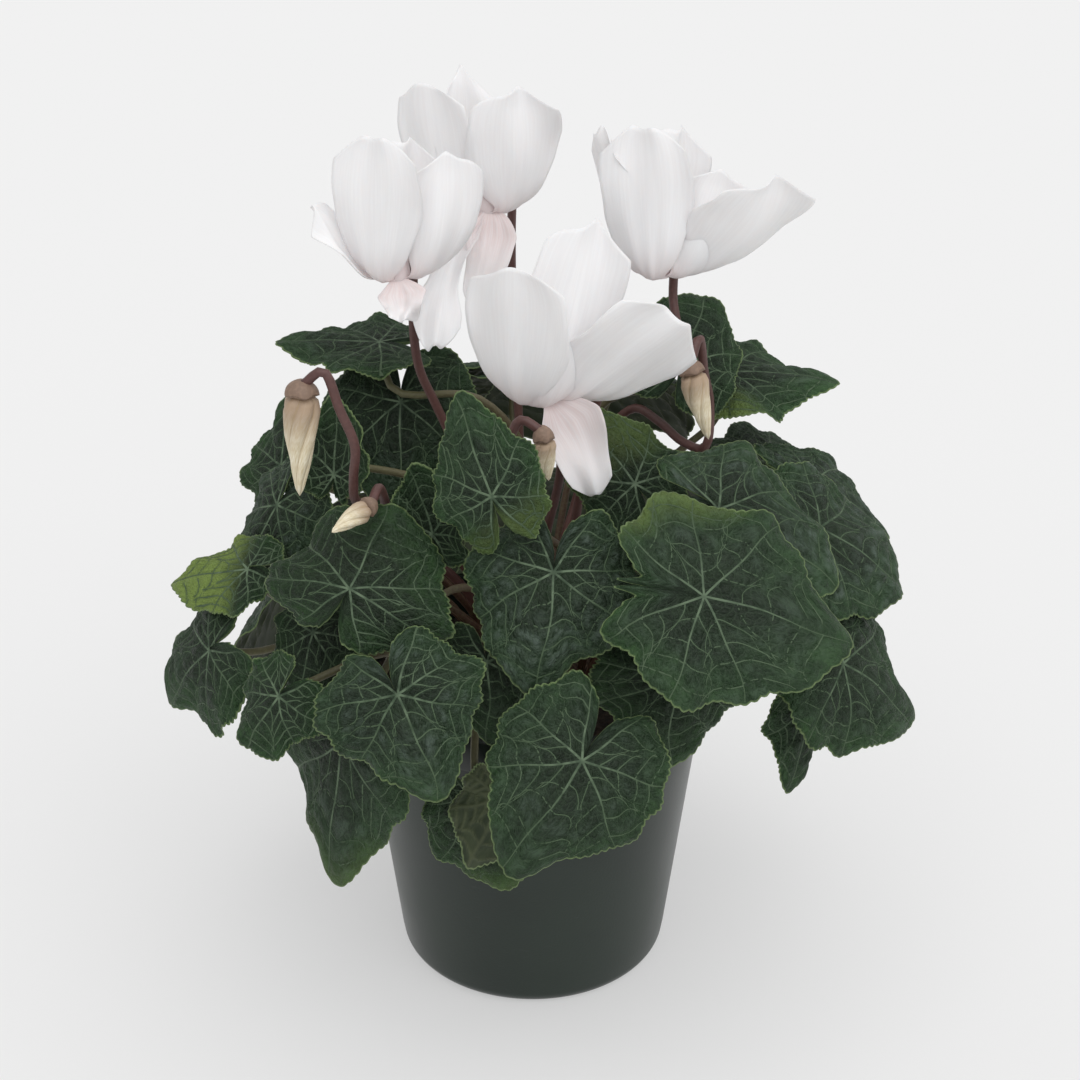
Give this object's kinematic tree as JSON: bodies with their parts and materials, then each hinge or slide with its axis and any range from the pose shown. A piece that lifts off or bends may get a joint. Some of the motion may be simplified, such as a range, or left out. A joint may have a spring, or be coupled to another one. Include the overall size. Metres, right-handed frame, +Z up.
{
  "type": "potted cyclamen",
  "caption": "White cyclamen in a round tapered nursery pot: marbled heart-shaped leaves, swept-back petals and pointed buds on hooked stalks.",
  "frame": {"origin": "middle of the pot's underside, on the surface that it stands on", "axes": "+Z up along the pot's axis, -Y towards the front that the picture shows, +X to the right of that front"},
  "size_m": [0.2329, 0.2388, 0.2911],
  "materials": {
    "pot": "satin, dark green-grey moulded plastic",
    "soil": "loose, dark potting compost with fibres",
    "tuber": "rough corky skin",
    "foliage": "satin, dark green with a silvery zone and pale veins",
    "petal": "soft, thin white petal with a pink blush at its base",
    "bud": "soft cream",
    "flower_stalk": "satin, purple-brown"
  },
  "bodies": {
    "root": {"pot": "pot", "soil": "soil", "tuber": "tuber", "leaf_front_centre": "foliage", "leaf_right_large": "foliage", "leaf_upright": "foliage", "leaf_left_bright": "foliage", "leaf_left_wide": "foliage", "leaf_front_grey": "foliage", "leaf_centre_grey": "foliage", "leaf_left_cup": "foliage", "leaf_left_silver": "foliage", "leaf_left_lime": "foliage", "leaf_left_low": "foliage", "leaf_front_low": "foliage", "leaf_left_hanging": "foliage", "leaf_front_turned": "foliage", "leaf_middle_cup": "foliage", "leaf_upper_right": "foliage", "leaf_right_middle": "foliage", "leaf_right_upper": "foliage", "leaf_right_low": "foliage", "leaf_right_shaded": "foliage", "leaf_right_hanging": "foliage", "leaf_top_left": "foliage", "leaf_behind_left": "foliage", "leaf_left_green": "foliage", "leaf_right_small": "foliage", "leaf_right_dark": "foliage", "leaf_right_back": "foliage", "leaf_top_right": "foliage", "leaf_middle_low": "foliage", "leaf_left_inner": "foliage", "leaf_back_low_1": "foliage", "leaf_back_low_2": "foliage", "leaf_back_low_3": "foliage", "leaf_back_low_4": "foliage", "leaf_back_low_5": "foliage", "leaf_back_high_1": "foliage", "leaf_back_high_2": "foliage", "leaf_back_high_3": "foliage", "bloom_front_petals": "petal", "bloom_front_stalk": "flower_stalk", "bloom_left_petals": "petal", "bloom_left_stalk": "flower_stalk", "bloom_back_petals": "petal", "bloom_back_stalk": "flower_stalk", "bloom_right_petals": "petal", "bloom_right_stalk": "flower_stalk", "bud_left_petals": "bud", "bud_left_stalk": "flower_stalk", "bud_right_petals": "bud", "bud_right_stalk": "flower_stalk", "bud_middle_petals": "bud", "bud_middle_stalk": "flower_stalk", "bud_low_petals": "bud", "bud_low_stalk": "flower_stalk"}
  },
  "joints": []
}
